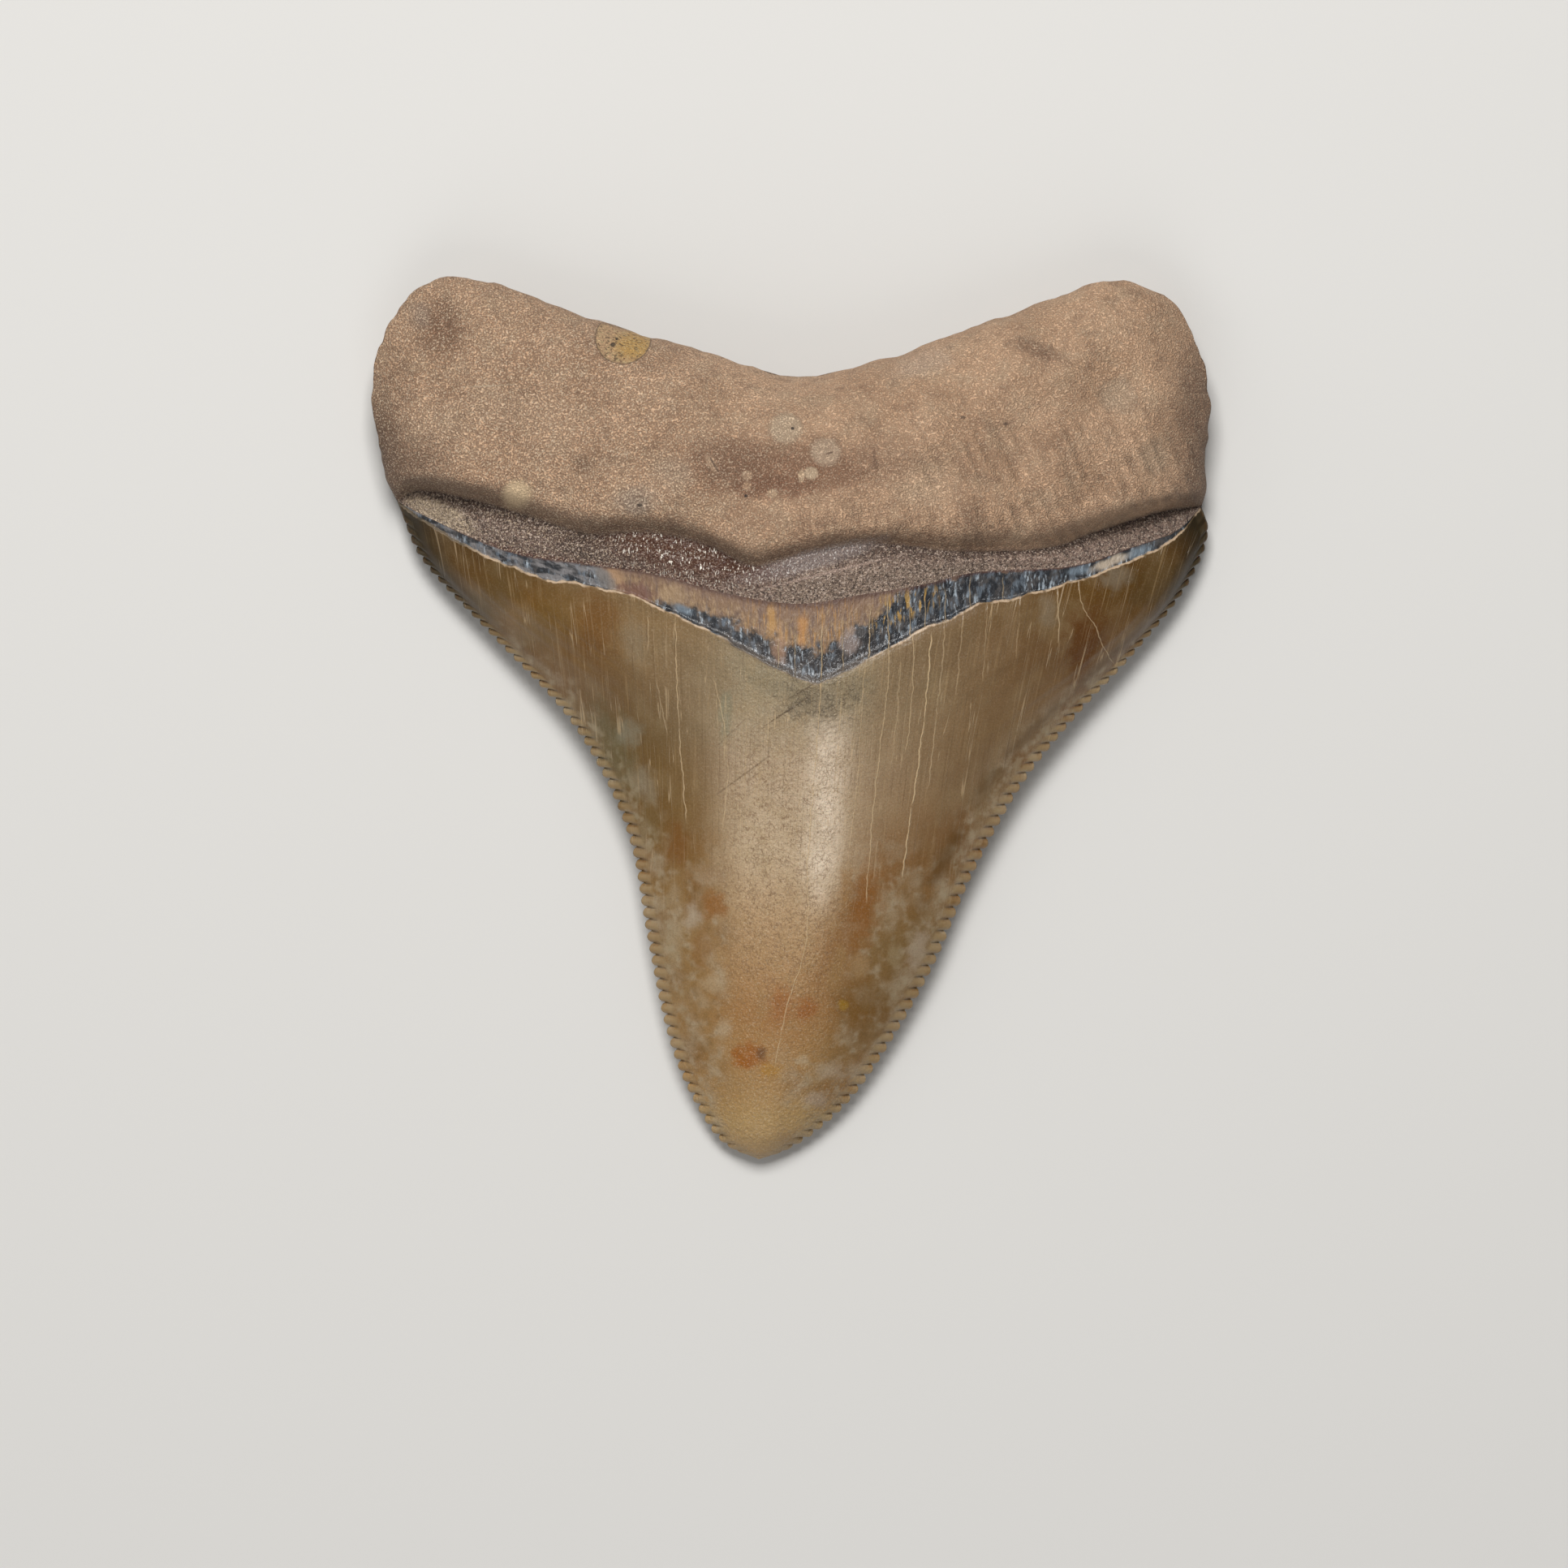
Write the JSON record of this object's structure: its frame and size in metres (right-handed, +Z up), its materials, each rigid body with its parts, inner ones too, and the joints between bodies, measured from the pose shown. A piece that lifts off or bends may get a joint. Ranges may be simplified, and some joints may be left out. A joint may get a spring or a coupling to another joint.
{
  "type": "fossil shark tooth",
  "caption": "Triangular fossil shark tooth with serrated cutting edges and a bowed two-lobed root, lying on its flat outer face.",
  "frame": {"origin": "on the surface that the tooth lies on, under the middle of its outline", "axes": "+Y from the tip to the root, +Z up out of the domed inner face, +X to the right when that face is looked at with the root away from the viewer"},
  "size_m": [0.0672, 0.0708, 0.0157],
  "materials": {
    "tooth": "matte grainy root, satin to glossy enamel crown"
  },
  "bodies": {
    "root": {"tooth": "tooth"}
  },
  "joints": []
}
